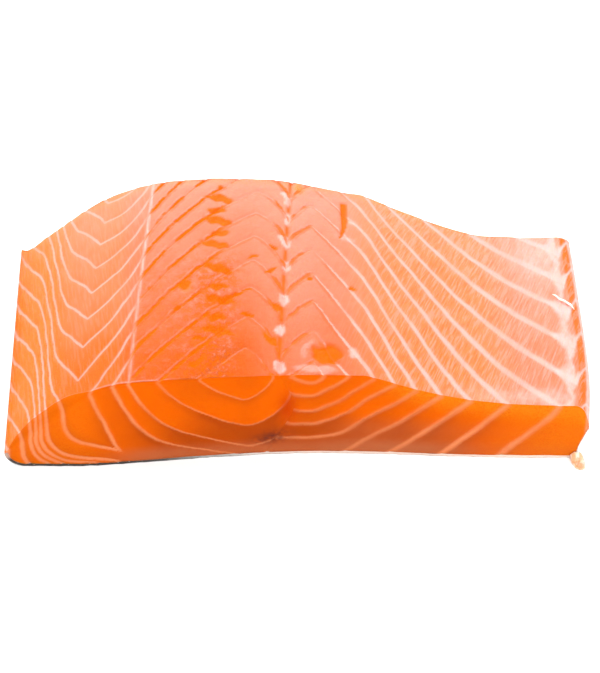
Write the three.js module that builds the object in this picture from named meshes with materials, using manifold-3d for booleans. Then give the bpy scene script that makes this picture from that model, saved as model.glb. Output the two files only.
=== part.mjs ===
// Raw salmon fillet portion: the full width of one side of the fish, from the back edge (-X) to the
// belly edge (+X), cut straight across at -Y and +Y. The skin lies underneath and wraps up round the
// back edge. Millimetres, +Z up, origin under the middle of the whole piece, on the surface it rests on.
import * as THREE from "three";
import { mergeVertices } from "three/addons/utils/BufferGeometryUtils.js";
import Module from "manifold-3d";

const wasm = await Module();
wasm.setup();

// ---- driving dimensions, millimetres ----
const EDGE_X = 83.5;             // half of the fillet's width, back edge to belly edge
const FRONT_Y = -43.5;           // front cut
const BACK_Y = 43.5;             // rear cut
const TAG_REACH = 4.6;           // skin tag that sticks out past the front cut
const BELLY_BULGE = 2.3;         // how far the belly edge swells outward behind the front cut
const BACK_SKEW = 0.9;           // how far the back edge runs in toward +X, front cut to rear cut

const LOIN_HEIGHT = 34;          // thick part, front cut
const LOIN_HEIGHT_REAR = 29.8;   // thick part, rear cut
const SHOULDER = 36.5;           // width of the rounded slope at the back edge, front cut
const SHOULDER_REAR = 50;        // the same slope at the rear cut
const CROWN = 3;                 // how much the top arches between the two cuts
const BELLY_DROP = 11.3;         // fall from the loin to the belly, front cut
const BELLY_DROP_REAR = 22;      // the same at the rear cut
const FLANK = 4.5;               // width of the rounded flank at the belly edge
const FLANK_FOOT = 0.57;         // where the flank is widest, as a share of the belly's height
const UNDERCUT = 3.1;            // how far in the flank runs below its widest line

const SKIN = 1.0;                // skin thickness
const GAP = 0.3;                 // between the skin and the flesh
const WRAP = 6;                  // how far in from the back edge the skin starts to turn up
const LIP_FRONT = 5.6;           // height of the turned-up skin at the front cut
const LIP_REAR = 3.0;            // and at the rear cut

const FLAKE = 11.2;              // spacing of the muscle layers along the fish
const FLAKE_STRETCH = 0.002;     // the spacing grows toward -Y by this share of a millimetre
const DORSAL_FOLD = -59;         // the folds of the zigzag: x of each turn at mid length
const LOIN_SEAM = -44;
const LOIN_FOLD = -12.5;
const SEPTUM = -2.4;
const FLANK_FOLD = 5.7;
const SLANT = 0.065;             // the fold lines lean toward +X as they run to +Y
const FOLD_SAG = 3.4;            // how much further the dorsal fold dips near the front cut
const GROOVE = 0.55;             // depth of the gap between two flakes on the top
const PILLOW = 0.28;             // swell of each flake between two gaps
const CUT_GROOVE = 0.34;         // depth of the layer lines on the two cut faces

const LONG_PITS = [33, 22.4, 11.5, 1.2, -11.3, -23.3]; // y of each pit left by a pin bone
const SHORT_PITS = [27, 16.5, -6.5, -18.3];            // and of the small ones between them
const BONE_X = -22.2;

// ---- small maths ----
const clamp = (v, low, high) => Math.min(Math.max(v, low), high);
const mix = (a, b, t) => a + (b - a) * t;
const ease = (a, b, v) => { const t = clamp((v - a) / (b - a), 0, 1); return t * t * (3 - 2 * t); };
const bump = (v, centre, width) => Math.exp(-(((v - centre) / width) ** 2));
// Area under ease(a, b, .) from far left up to v.
const easeArea = (a, b, v) => {
  const t = clamp((v - a) / (b - a), 0, 1);
  return v > b ? v - (a + b) / 2 : (b - a) * (t ** 3 - t ** 4 / 2);
};

// ---- outline of the piece ----
const frontEdge = (x) => FRONT_Y + 3.4 * bump(x, 2, 44) + 0.5 * ease(-40, -80, x) - 0.8 * bump(x, -62, 16);
const backEdge = (x) => BACK_Y - 2.5 * ease(-50, -83, x) - 4 * ease(20, 75, x);
const along = (x, y) => (y - frontEdge(x)) / (backEdge(x) - frontEdge(x));
const lip = (t) => mix(LIP_FRONT, LIP_REAR, t);

// Height of the top at the front cut: a rounded shoulder, the level loin and the fall to the belly.
const frontProfile = (x) => {
  const rise = Math.sin((Math.PI / 2) * clamp((x + EDGE_X) / SHOULDER, 0, 1)) ** 0.85;
  const shoulder = 5 + (LOIN_HEIGHT - 5) * rise;
  const fall = 1 - Math.exp(-((Math.max(x - 19, 0) / 22) ** 1.3));
  return shoulder - ease(-50, 10, x) - BELLY_DROP * fall;
};
// Height of the top at the rear cut, lower and with a longer slope.
const rearProfile = (x) => {
  const rise = Math.sin((Math.PI / 2) * clamp((x + EDGE_X) / SHOULDER_REAR, 0, 1));
  const swell = 1.2 * bump(x, -22, 14) + 1.4 * bump(x, 22, 6) + 1.4 * bump(x, 36, 16);
  return 2 + (LOIN_HEIGHT_REAR - 2) * rise + swell - BELLY_DROP_REAR * ease(-8, 60, x);
};
// Height of the top at share t of the way from cut to cut, before the flank is rounded.
const flatHeight = (x, t) => {
  const arch = CROWN * 4 * t * (1 - t) * ease(-EDGE_X, -40, x) * (1 - 0.5 * ease(20, 70, x));
  return mix(frontProfile(x), rearProfile(x), t) + arch;
};
const footHeight = (t) => FLANK_FOOT * flatHeight(EDGE_X - FLANK, t);
const topHeight = (x, y) => {
  const t = clamp(along(x, y), -0.1, 1.1);
  const inner = clamp(x, -EDGE_X, EDGE_X - FLANK);
  const out = clamp((x - inner) / FLANK, 0, 1);
  const side = mix(footHeight(t), flatHeight(inner, t), Math.sqrt(1 - out * out));
  return Math.max(side, lip(clamp(t, 0, 1)) + GAP + 0.5);
};
// Shifts x to the swell of the belly edge and the skew of the back edge, t of the way along.
const bulged = (x, t) => {
  const u = clamp(t, 0, 1);
  const swell = BELLY_BULGE * (1 - Math.exp(-((u / 0.15) ** 1.4))) * (1 - 0.15 * u);
  return x + swell * ease(60, EDGE_X, x) + BACK_SKEW * (u - 0.45) * ease(-60, -EDGE_X, x);
};

// ---- muscle layers ----
// Fold lines lean, so the zigzag is read in a sheared coordinate s.
const lean = (s) => SLANT * ease(-84, -62, s) * (1 - ease(8, 32, s)) * (1 - 0.75 * bump(s, FLANK_FOLD, 5))
  + 0.022 * bump(s, -60, 9);
const shear = (s, y) => s + lean(s) * y;
// Below the surface each layer leans, so a line of the top reaches depth d at another s. leftLean and
// rightLean give that shift for each millimetre of depth. Past the last folds, toward the septum, the
// same layers rise to the surface again, which is leftRise and rightRise in millimetres of height.
const leftLean = (s) => 0.26 + 0.78 * ease(-52, -8, s);
const rightLean = (s) => 0.72 + 0.25 * bump(s, 5.7, 7) - 0.3 * ease(62, 83, s);
const leftRise = (s, d) => {
  const inward = Math.max(s - LOIN_FOLD, 0) / (SEPTUM - LOIN_FOLD);
  return 14 * inward ** 1.4 * Math.exp(-d / 22);
};
const rightRise = (s, d) => {
  const inward = Math.max(FLANK_FOLD - s, 0) / (FLANK_FOLD - SEPTUM);
  return 6.3 * inward ** 1.3 * Math.exp(-d / 16);
};
// Position along the fish of one layer line, above its turn at the dorsal fold. The first arm climbs
// toward the back edge, out millimetres behind the fold; the others cross the loin to its fold.
const steepArm = (out) => {
  const near = Math.min(out, 12.7);
  const far = Math.max(out - 12.7, 0);
  return 1.5 * near + 0.45 * Math.max(near - 7, 0) ** 2 + 5.6 * far - 3.4 * easeArea(1.5, 6, far);
};
const loinArms = (s) => {
  const first = Math.min((s - DORSAL_FOLD) / (LOIN_SEAM - DORSAL_FOLD), 1);
  const left = clamp((LOIN_FOLD - s) / (LOIN_FOLD - LOIN_SEAM), 0, 1);
  const arm = 12 * first + 4 * Math.max(first, 0) ** 2 + 8 * Math.max(first, 0) ** 3;
  return arm + 37 - 24 * left - 13 * left ** 2.2;
};
const zigzag = (s) => {
  if (s < DORSAL_FOLD) return steepArm(DORSAL_FOLD - s);
  if (s < LOIN_FOLD) return loinArms(s);
  if (s < SEPTUM) return loinArms(LOIN_FOLD - leftLean(LOIN_FOLD) * leftRise(s, 0));
  if (s < FLANK_FOLD) return zigzag(FLANK_FOLD + rightLean(FLANK_FOLD) * rightRise(s, 0));
  const out = s - FLANK_FOLD;
  const bent = 2 * ease(0, 12, out) + 0.85 * easeArea(8, 20, out) - 0.95 * easeArea(34, 66, out);
  return 56.5 - 1.3 * out - bent;
};
const spacing = (s) => FLAKE - 1.5 * bump(s, -48, 14) + 0.45 * bump(s, -62, 9) + 4.4 * ease(10, 60, s);
const stretch = (y) => -Math.log(1 - FLAKE_STRETCH * y) / FLAKE_STRETCH;
const unstretch = (p) => (1 - Math.exp(-FLAKE_STRETCH * p)) / FLAKE_STRETCH;
const sag = (s, y) => FOLD_SAG * bump(s, DORSAL_FOLD, 8) * ease(-24, -46, y);
const unsag = (s, y) => {
  let level = y;
  for (let i = 0; i < 5; i += 1) level = y + sag(s, level);
  return level;
};
const ZIGZAG_START = -34.3;      // y of the dorsal turn of line number zero
// Which layer a point of the top lies in, and the y at which line number n crosses s.
const layerAt = (s, y) => (stretch(unsag(s, y)) - stretch(ZIGZAG_START + zigzag(s))) / spacing(s);
const lineY = (s, n) => {
  const y = unstretch(stretch(ZIGZAG_START + zigzag(s)) + n * spacing(s));
  return y - sag(s, y);
};

// Height of the flake relief: a gap at each layer line and a swell between, deepest in the loin.
const flakeRelief = (s, n) => {
  const f = n - Math.floor(n);
  const zone = 0.45 + 0.55 * ease(-50, -36, s) * (1 - ease(14, 30, s));
  const gap = -GROOVE * zone * Math.max(0, 1 - Math.min(f, 1 - f) / 0.08);
  const middle = Math.abs(s - SEPTUM) < 0.6 ? -1.1 * (0.35 + 0.65 * Math.sin(Math.PI * n) ** 2) : 0;
  return gap + PILLOW * zone * (4 * f * (1 - f) - 0.5) + middle;
};

// ---- solids ----
const toSolid = (geometry) => {
  geometry.deleteAttribute("normal");
  geometry.deleteAttribute("uv");
  const merged = mergeVertices(geometry, 1e-5);
  const index = merged.index.array;
  const corners = [];
  for (let i = 0; i < index.length; i += 3) {
    const [a, b, c] = index.slice(i, i + 3);
    if (a !== b && b !== c && c !== a) corners.push(a, b, c);
  }
  return new wasm.Manifold(new wasm.Mesh({
    numProp: 3,
    vertProperties: new Float32Array(merged.attributes.position.array),
    triVerts: new Uint32Array(corners),
  }));
};
const toGeometry = (solid) => {
  const mesh = solid.getMesh();
  const geometry = new THREE.BufferGeometry();
  geometry.setAttribute("position", new THREE.BufferAttribute(new Float32Array(mesh.vertProperties), 3));
  geometry.setIndex(new THREE.BufferAttribute(new Uint32Array(mesh.triVerts), 1));
  geometry.computeVertexNormals();
  return geometry;
};
// A unit box of nx by ny by 1 cells whose corners (0..nx, 0..ny, 0 or 1) are moved by place().
const bentBox = (nx, ny, place) => {
  const geometry = new THREE.BoxGeometry(1, 1, 1, nx, ny, 1);
  const p = geometry.attributes.position;
  const v = new THREE.Vector3();
  for (let i = 0; i < p.count; i += 1) {
    v.fromBufferAttribute(p, i).addScalar(0.5);
    const [x, y, z] = place(Math.round(v.x * nx), Math.round(v.y * ny), Math.round(v.z));
    p.setXYZ(i, x, y, z);
  }
  return toSolid(geometry);
};
const ellipsoid = (centre, radii, turn, around = 10, up = 6) => {
  const geometry = new THREE.SphereGeometry(1, around, up);
  geometry.rotateX(Math.PI / 2);
  geometry.scale(...radii);
  geometry.rotateZ(turn);
  geometry.translate(...centre);
  return toSolid(geometry);
};

// Columns across the fish: close together at the back edge, the folds, the septum and the flank.
const columns = () => {
  const list = [-88, -83.4, -82.4, -80.6];
  for (let x = -78; x < -46; x += 2.7) list.push(x);
  for (let x = LOIN_SEAM - 0.6; x < LOIN_FOLD - 6; x += 2.9) list.push(x);
  for (let x = LOIN_FOLD - 3.6; x < SEPTUM - 1.5; x += 1.9) list.push(x);
  list.push(SEPTUM - 1.1, SEPTUM, SEPTUM + 1.1, 0.8, 3.2);
  for (let x = FLANK_FOLD; x < 76; x += 2.95) list.push(x);
  const edge = EDGE_X - FLANK;
  list.push(edge - 1.2, edge, edge + 1.5, edge + 2.7, edge + 3.6, edge + 4.2, edge + 4.5, edge + 7);
  return list;
};
// Rows along the fish follow the layer lines, four to a flake.
const FLAKE_ROWS = [0, 0.08, 0.5, 0.92];
const rows = () => {
  const list = [];
  for (let n = -10; n < 12; n += 1) for (const f of FLAKE_ROWS) list.push(n + f);
  return list;
};
// Past the two cuts the rows close up, so that the sheet ends just outside the piece.
const tighten = (y) => (Math.abs(y) < 49 ? y : Math.sign(y) * (49 + 0.03 * (Math.abs(y) - 49)));
const topSheet = () => {
  const cols = columns();
  const lines = rows();
  return bentBox(cols.length - 1, lines.length - 1, (i, j, k) => {
    const s = cols[i];
    const y = tighten(lineY(s, lines[j]));
    const x = shear(s, clamp(y, -49, 49));
    return [bulged(x, along(x, y)), y, k ? topHeight(x, y) + flakeRelief(s, lines[j]) : -20];
  });
};

// Outside of the skin in a cross-section: up round the back edge, flat below, a short turn at the belly.
const skinPath = (steps) => {
  const path = [];
  for (let i = 0; i <= steps; i += 1) {
    const a = (i / steps) * (Math.PI / 2);
    const [nx, nz] = [Math.cos(a), Math.sin(a)];
    path.push({ x: -EDGE_X + WRAP * (1 - nx), rise: 1 - nz, nx, nz });
  }
  for (let x = -70; x < 78; x += 12) path.push({ x, rise: 0, nx: 0, nz: 1 });
  path.push({ x: 79.4, rise: 0, nx: 0, nz: 1 }, { x: 81.2, rise: 0.1, nx: -0.3, nz: 0.95 });
  return path;
};
const SKIN_PATH = skinPath(7);
const skinPoint = (i, t, depth) => {
  const p = SKIN_PATH[i];
  return [p.x + p.nx * depth, p.rise * lip(t) + p.nz * depth];
};
const LENGTH_STEPS = 10;
const skinSheet = () => bentBox(SKIN_PATH.length - 1, LENGTH_STEPS, (i, j, k) => {
  const t = (j / LENGTH_STEPS) ** 1.5;
  const [x, z] = skinPoint(i, t, k ? SKIN : 0);
  return [bulged(x, t), mix(frontEdge(x), backEdge(x), t), z];
});
// The block that the flesh is cut from: its underside lies on the skin, its ends are the knife cuts.
const knifeBlock = () => {
  const last = SKIN_PATH.length - 1;
  const under = [{ x: -EDGE_X + 0.15, lift: GAP }, { x: -EDGE_X + SKIN + GAP, lift: GAP }];
  const flank = [0.2, 0.45, 0.7, 0.9, 1];
  const count = under.length + last + flank.length;
  return bentBox(count - 1, LENGTH_STEPS, (i, j, k) => {
    const t = (j / LENGTH_STEPS) ** 1.5;
    const onFlank = i - under.length - last;
    let point;
    if (i < under.length) point = [under[i].x, lip(t) + under[i].lift];
    else if (onFlank < 0) {
      point = skinPoint(i - under.length, t, SKIN + GAP);
      if (i === under.length) point = [point[0] + 0.02, lip(t) - 0.1];
    } else {
      const rise = flank[onFlank];
      const foot = footHeight(t) + 0.5;
      point = [EDGE_X - UNDERCUT * (1 - rise ** 1.3), mix(SKIN + GAP + 0.3, foot, rise)];
    }
    const [x, z] = point;
    return [bulged(x, t), mix(frontEdge(x), backEdge(x), t), k ? 60 : z];
  });
};

// ---- layer lines on the cut faces ----
// Depth at which the layer that starts at s = start on the surface is found at s.
const lessRise = (total, s, rise) => {
  let depth = total;
  for (let i = 0; i < 8; i += 1) depth = total - rise(s, Math.max(depth, 0));
  return depth;
};
const leftDepth = (s, start) => {
  const inner = Math.min(s, LOIN_FOLD);
  return lessRise((inner - start) / leftLean(inner), s, leftRise);
};
const rightDepth = (s, start) => {
  const inner = Math.max(s, FLANK_FOLD);
  return lessRise((start - inner) / rightLean(inner), s, rightRise);
};
// Layers behind the dorsal fold go straight down, then turn in under it by turnIn(d) at depth d.
const turnIn = (d) => 0.028 * Math.max(d - 6, 0) ** 2;
// Where line n meets the top edge of a cut, on a stretch where the layer number only rises or falls.
const crossing = (n, low, high, edge) => {
  const value = (s) => layerAt(s, edge(s)) - n;
  if (value(low) * value(high) > 0) return null;
  let [a, b] = [low, high];
  for (let i = 0; i < 30; i += 1) {
    const m = (a + b) / 2;
    if (value(a) * value(m) <= 0) b = m; else a = m;
  }
  return (a + b) / 2;
};
// Points (x, z) of every layer line on one cut face.
const faceLines = (edge, t) => {
  const lines = [];
  const place = (s, depth) => {
    const x = shear(s, edge(s));
    return [bulged(x, t), topHeight(x, edge(x)) - depth];
  };
  const keep = (points) => {
    const end = points.findIndex(([, z]) => z < 0.8);
    if (end >= 0) points.length = end + 1;
    if (points.length < 4) return;
    const [[x0, z0], [x1, z1]] = points;
    const length = Math.hypot(x1 - x0, z1 - z0);
    points[0] = [x0 + ((x0 - x1) / length) * 1.2, z0 + ((z0 - z1) / length) * 1.2];
    lines.push(points);
  };
  const trace = (start, step, depthAt, stop) => {
    const points = [];
    for (let s = start; step > 0 ? s < stop : s > stop; s += step * Math.min(1, 0.25 + points.length / 4)) {
      const depth = depthAt(s, start);
      // A layer of the dorsal fold ends where it meets its own other arm.
      if (s < LOIN_SEAM && steepArm(DORSAL_FOLD - s + turnIn(depth)) > loinArms(start)) break;
      points.push(place(s, depth));
    }
    keep(points);
  };
  const traceBack = (start) => {
    const points = [];
    for (let d = 0; d < LOIN_HEIGHT; d += d > 18 ? 1.5 : 3) {
      const s = start + turnIn(d);
      if (loinArms(s - leftLean(s) * d) > steepArm(DORSAL_FOLD - start)) break;
      points.push(place(s, d));
    }
    keep(points);
  };
  for (let n = -8; n < 12; n += 1) {
    const back = crossing(n, -81, DORSAL_FOLD - 0.5, edge);
    const loin = crossing(n, DORSAL_FOLD + 0.5, LOIN_FOLD - 2, edge);
    const belly = crossing(n, FLANK_FOLD + 2, EDGE_X - FLANK, edge);
    if (back !== null) traceBack(back);
    if (loin !== null) trace(loin, 2.6, leftDepth, SEPTUM - 2);
    if (belly !== null) trace(belly, -3, rightDepth, SEPTUM + 2);
  }
  return lines;
};
// A V-shaped cutter along points (x, z) on a cut face; side is -1 at the front and 1 at the rear.
const faceCutter = (points, edge, side, depth, width) => bentBox(points.length - 1, 1, (i, j, k) => {
  const [x0, z0] = points[Math.max(i - 1, 0)];
  const [x1, z1] = points[Math.min(i + 1, points.length - 1)];
  const length = Math.hypot(x1 - x0, z1 - z0);
  const half = (k ? width * 2.4 : 0) * (j ? 1 : -1) * side;
  const x = points[i][0] + ((z1 - z0) / length) * half;
  const z = points[i][1] - ((x1 - x0) / length) * half;
  return [x, edge(points[i][0]) + side * (k ? depth * 1.4 : -depth), z];
});
const septumLine = (edge) => {
  const x = SEPTUM + lean(SEPTUM) * edge(0);
  const top = topHeight(x, edge(x));
  const points = [];
  for (let i = 0; i <= 9; i += 1) {
    const d = (i / 9) * (top - 1.5) - (i ? 0 : 1.2);
    const bow = 3.4 * Math.sin(clamp(d, 0, 30) * 0.115) - 0.13 * Math.max(d - 14, 0);
    points.push([x + bow + 0.3 * Math.sin(i * 2.1), top - d]);
  }
  return points;
};

const flesh = () => {
  let solid = topSheet().intersect(knifeBlock());
  const cuts = [];
  for (const [edge, side] of [[frontEdge, -1], [backEdge, 1]]) {
    for (const points of faceLines(edge, (side + 1) / 2)) {
      cuts.push(faceCutter(points, edge, side, CUT_GROOVE, 0.3));
    }
    cuts.push(faceCutter(septumLine(edge), edge, side, 0.9, 0.45));
  }
  // Pits left by the pin bones, in a row beside the septum.
  const pit = (y, length, width) => {
    const x = BONE_X + 0.7 * Math.sin(y * 0.4);
    cuts.push(ellipsoid([x, y, topHeight(x, y) + 0.35], [length, width, 1.3], -0.35));
  };
  for (const y of LONG_PITS) pit(y, 3.3, 1.4);
  for (const y of SHORT_PITS) pit(y, 1.8, 1.1);
  // A long narrow slit, and a shallow hollow near the front cut.
  cuts.push(ellipsoid([15.2, 27.8, topHeight(15, 28) + 0.3], [1, 9.4, 1.6], 0.07, 8, 10));
  cuts.push(ellipsoid([9, -31.5, topHeight(9, -31.5) + 2.6], [5.6, 5.2, 3.5], 0.4));
  for (const cut of cuts) solid = solid.subtract(cut);
  // A loose shred of white membrane on the edge of the flank.
  const shred = bentBox(7, 1, (i, j, k) => {
    const t = i / 7;
    const half = 0.45 * (1 - 0.6 * Math.abs(2 * t - 1) ** 3) * (j ? 1 : -1);
    const x = mix(75.4, 80.9, t) + 0.76 * half;
    const y = mix(7.2, 1, t) + 0.5 * Math.sin(t * Math.PI) + 0.65 * half;
    return [bulged(x, along(x, y)), y, topHeight(x, y) + (k ? 0.75 : -0.5)];
  });
  return solid.add(shred);
};

const skin = () => {
  // The tag is a tongue of skin and membrane at the belly end of the front cut.
  const tag = bentBox(3, 8, (i, j, k) => {
    const y = j < 7 ? mix(FRONT_Y - TAG_REACH, FRONT_Y - 0.25, j / 6) : FRONT_Y + (j - 7) * 2.7 - 0.2;
    const near = clamp((y - FRONT_Y + TAG_REACH) / TAG_REACH, 0, 1);
    const half = 1.9 * Math.sqrt(0.3 + 0.7 * near) - 0.4 * ease(0.6, 1, near);
    const x = 81.2 - 0.6 * near + 0.5 * (1 - near) + half * (i / 1.5 - 1);
    const height = j > 6 ? SKIN - 0.02 : 0.7 + 2.9 * near ** 1.5;
    return [Math.min(x, EDGE_X - 0.2), y, k ? height : 0.02];
  });
  return skinSheet().add(tag);
};

const group = new THREE.Group();
const addPart = (name, solid, color, roughness) => {
  const material = new THREE.MeshStandardMaterial({ color, roughness, metalness: 0 });
  const mesh = new THREE.Mesh(toGeometry(solid), material);
  mesh.name = name;
  group.add(mesh);
};
addPart("flesh", flesh(), 0xf08050, 0.35);
addPart("skin", skin(), 0x8f8c86, 0.4);

// Centre the whole box on the origin.
const middle = new THREE.Box3().setFromObject(group).getCenter(new THREE.Vector3());
for (const mesh of group.children) mesh.position.set(-middle.x, -middle.y, 0);

export default group;
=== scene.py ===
"""Raw salmon fillet portion: the dressed pieces, studio and camera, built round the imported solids."""
from __future__ import annotations

import logging
import math
from collections.abc import Callable
from dataclasses import dataclass, replace
from enum import Enum
from functools import reduce

import bpy
import numpy as np
from mathutils import Matrix, Vector


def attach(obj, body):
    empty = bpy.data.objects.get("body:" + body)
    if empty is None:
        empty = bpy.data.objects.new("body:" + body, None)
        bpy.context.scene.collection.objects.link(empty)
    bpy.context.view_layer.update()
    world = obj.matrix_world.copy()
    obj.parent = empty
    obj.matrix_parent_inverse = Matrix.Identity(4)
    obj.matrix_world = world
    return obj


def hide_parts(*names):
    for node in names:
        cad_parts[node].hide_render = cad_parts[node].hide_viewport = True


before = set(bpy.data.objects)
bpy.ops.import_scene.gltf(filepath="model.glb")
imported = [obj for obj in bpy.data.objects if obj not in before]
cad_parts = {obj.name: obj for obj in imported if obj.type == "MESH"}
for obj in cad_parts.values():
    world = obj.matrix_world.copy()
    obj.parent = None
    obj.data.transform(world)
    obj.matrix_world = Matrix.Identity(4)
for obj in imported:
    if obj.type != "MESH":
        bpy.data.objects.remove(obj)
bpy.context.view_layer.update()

log = logging.getLogger("fillet")

Array = np.ndarray
Socket = bpy.types.NodeSocket
Colour = tuple[float, float, float]

MM = 0.001                       # metres in a millimetre
IMAGE_HEIGHT = 673               # pixels
HASH_PRIMES = (73856093, 19349663, 83492791)
SEED_PRIME, MIX_PRIME = 2654435761, 1274126177


# ---- small maths ----
def ease(low: float, high: float, v: Array) -> Array:
    """Smooth step: 3 t^2 - 2 t^3 of t = (v - low) / (high - low), held to 0..1."""
    t = np.clip((v - low) / (high - low), 0.0, 1.0)
    return t * t * (3.0 - 2.0 * t)


def ease_area(low: float, high: float, v: Array) -> Array:
    """Area under ease(low, high, .) up to v: (high - low)(t^3 - t^4 / 2), then a straight line."""
    t = np.clip((v - low) / (high - low), 0.0, 1.0)
    return np.where(v > high, v - (low + high) / 2.0, (high - low) * (t**3 - t**4 / 2.0))


def bump(v: Array, centre: float, width: float) -> Array:
    """Bell curve exp(-((v - centre) / width)^2)."""
    return np.exp(-(((v - centre) / width) ** 2))


def lattice_noise(points: Array, cell: tuple[float, float, float], seed: int) -> Array:
    """Value noise in -1..1: hashed values at the corners of a lattice, blended by the smooth step.

    Args:
        points: Array of shape (..., 3) in millimetres.
        cell: Size of a lattice box in millimetres.
        seed: Number that picks the pattern.

    Returns:
        Array of shape (...).
    """
    q = points / np.array(cell)
    base = np.floor(q).astype(np.int64)
    w = q - base
    w = w * w * (3.0 - 2.0 * w)
    total = np.zeros(points.shape[:-1])
    for corner in np.ndindex(2, 2, 2):
        a, b, c = np.moveaxis((base + np.array(corner)) * np.array(HASH_PRIMES), -1, 0)
        h = a ^ b ^ c ^ (seed * SEED_PRIME)
        h = ((h ^ (h >> 13)) * MIX_PRIME) & 0xFFFFFFFF
        value = ((h ^ (h >> 15)) & 0xFFFF) / 32767.5 - 1.0
        total += value * np.prod(np.where(np.array(corner) == 1, w, 1.0 - w), axis=-1)
    return total


def cloudy(points: Array, size: float, seed: int, octaves: int = 3) -> Array:
    """Sum of lattice noises, each with half the size and half the strength of the last.

    Args:
        points: Array of shape (..., 3) in millimetres.
        size: Size of the largest clouds.
        seed: Number that picks the pattern.
        octaves: How many noises.

    Returns:
        Array of shape (...).
    """
    return sum(lattice_noise(points, (size / 2**k,) * 3, seed + k) / 2**k for k in range(octaves))


def settled(step: Callable[[Array], Array], start: Array, times: int) -> Array:
    """Solves v = step(v) by putting v back in so many times."""
    return reduce(lambda v, _: step(v), range(times), start)


# ---- the fish ----
@dataclass(frozen=True)
class FishShape:
    """Outline and muscle layers of the fillet in millimetres, before it is centred on its box.

    x runs from the back edge to the belly edge, y along the fish from the front cut, z up from the
    table. The layers are cones stacked along the fish, so their cut edges zigzag: a layer number is
    known at every point, and a whole number is a sheet of fat between two flakes.
    """

    edge_x: float = 83.5
    front_y: float = -43.5
    back_y: float = 43.5
    tag_reach: float = 4.6
    box_shift: float = -0.836
    belly_bulge: float = 2.3
    back_skew: float = 0.9
    loin_height: float = 34.0
    loin_height_rear: float = 29.8
    shoulder: float = 36.5
    shoulder_rear: float = 50.0
    crown: float = 3.0
    belly_drop: float = 11.3
    belly_drop_rear: float = 22.0
    flank: float = 4.5
    flank_foot: float = 0.57
    undercut: float = 3.1
    skin: float = 1.0
    wrap: float = 6.0
    lip_front: float = 5.6
    lip_rear: float = 3.0
    flake: float = 11.2
    flake_stretch: float = 0.002
    dorsal_fold: float = -59.0
    loin_seam: float = -44.0
    loin_fold: float = -12.5
    septum: float = -2.4
    flank_fold: float = 5.7
    slant: float = 0.065
    fold_sag: float = 3.4
    zigzag_start: float = -34.3
    steep_reach: float = 12.7
    edge_height: float = 5.0
    edge_height_rear: float = 2.0

    @property
    def centre(self) -> Array:
        """Shift that centres the piece on its box."""
        return np.array([self.box_shift, self.tag_reach / 2, 0.0])

    def bulged(self, x: Array, t: Array) -> Array:
        """x with the belly edge swelled by 1 - exp(-(t / 0.15)^1.4) and the back edge set askew.

        Args:
            x: Across the fish, before the swell.
            t: Share of the way to the rear cut.

        Returns:
            x after it.
        """
        u = np.clip(t, 0, 1)
        swell = self.belly_bulge * (1 - np.exp(-((u / 0.15) ** 1.4))) * (1 - 0.15 * u)
        askew = self.back_skew * (u - 0.45) * ease(-60, -self.edge_x, x)
        return x + swell * ease(60, self.edge_x, x) + askew

    def front_edge(self, x: Array) -> Array:
        """y of the front cut: a straight knife cut that is 3.4 mm hollow in the middle."""
        return self.front_y + 3.4 * bump(x, 2, 44) + 0.5 * ease(-40, -80, x) - 0.8 * bump(x, -62, 16)

    def back_edge(self, x: Array) -> Array:
        """y of the rear cut, which falls away toward both ends."""
        return self.back_y - 2.5 * ease(-50, -83, x) - 4.0 * ease(20, 75, x)

    def along(self, x: Array, y: Array) -> Array:
        """Share of the way from the front cut to the rear cut."""
        front = self.front_edge(x)
        return (y - front) / (self.back_edge(x) - front)

    def lip(self, t: Array) -> Array:
        """Height of the turned-up skin at share t of the length."""
        return self.lip_front + (self.lip_rear - self.lip_front) * t

    def shoulder_height(self, x: Array, low: float, high: float, wide: float, power: float) -> Array:
        """Height of the top over the shoulder: low + (high - low) sin^power, level past its width."""
        turn = np.pi / 2 * np.clip((x + self.edge_x) / wide, 0, 1)
        return low + (high - low) * np.sin(turn) ** power

    def front_profile(self, x: Array) -> Array:
        """Height of the top at the front cut: steep shoulder, level loin, then a fall to the belly."""
        top = self.shoulder_height(x, self.edge_height, self.loin_height, self.shoulder, 0.85)
        fall = 1 - np.exp(-((np.maximum(x - 19, 0) / 22) ** 1.3))
        return top - ease(-50, 10, x) - self.belly_drop * fall

    def rear_profile(self, x: Array) -> Array:
        """Height of the top at the rear cut: longer shoulder, three low swells and a longer fall."""
        top = self.shoulder_height(x, self.edge_height_rear, self.loin_height_rear, self.shoulder_rear, 1)
        swell = 1.2 * bump(x, -22, 14) + 1.4 * bump(x, 22, 6) + 1.4 * bump(x, 36, 16)
        return top + swell - self.belly_drop_rear * ease(-8, 60, x)

    def flat_height(self, x: Array, t: Array) -> Array:
        """Height of the top before the flank is rounded: the two profiles blended, plus a crown."""
        arch = self.crown * 4 * t * (1 - t) * ease(-self.edge_x, -40, x) * (1 - 0.5 * ease(20, 70, x))
        return self.front_profile(x) * (1 - t) + self.rear_profile(x) * t + arch

    def foot_height(self, t: Array) -> Array:
        """Height at which the flank is widest."""
        return self.flank_foot * self.flat_height(np.float64(self.edge_x - self.flank), t)

    def top_height(self, x: Array, y: Array) -> Array:
        """Height of the top: flat_height, and a quarter ellipse down to the foot of the flank.

        Args:
            x: Across the fish.
            y: Along the fish.

        Returns:
            Height.
        """
        t = np.clip(self.along(x, y), -0.1, 1.1)
        inner = np.clip(x, -self.edge_x, self.edge_x - self.flank)
        out = np.clip((x - inner) / self.flank, 0, 1)
        foot = self.foot_height(t)
        side = foot + (self.flat_height(inner, t) - foot) * np.sqrt(1 - out * out)
        return np.maximum(side, self.lip(np.clip(t, 0, 1)) + 0.8)

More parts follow.
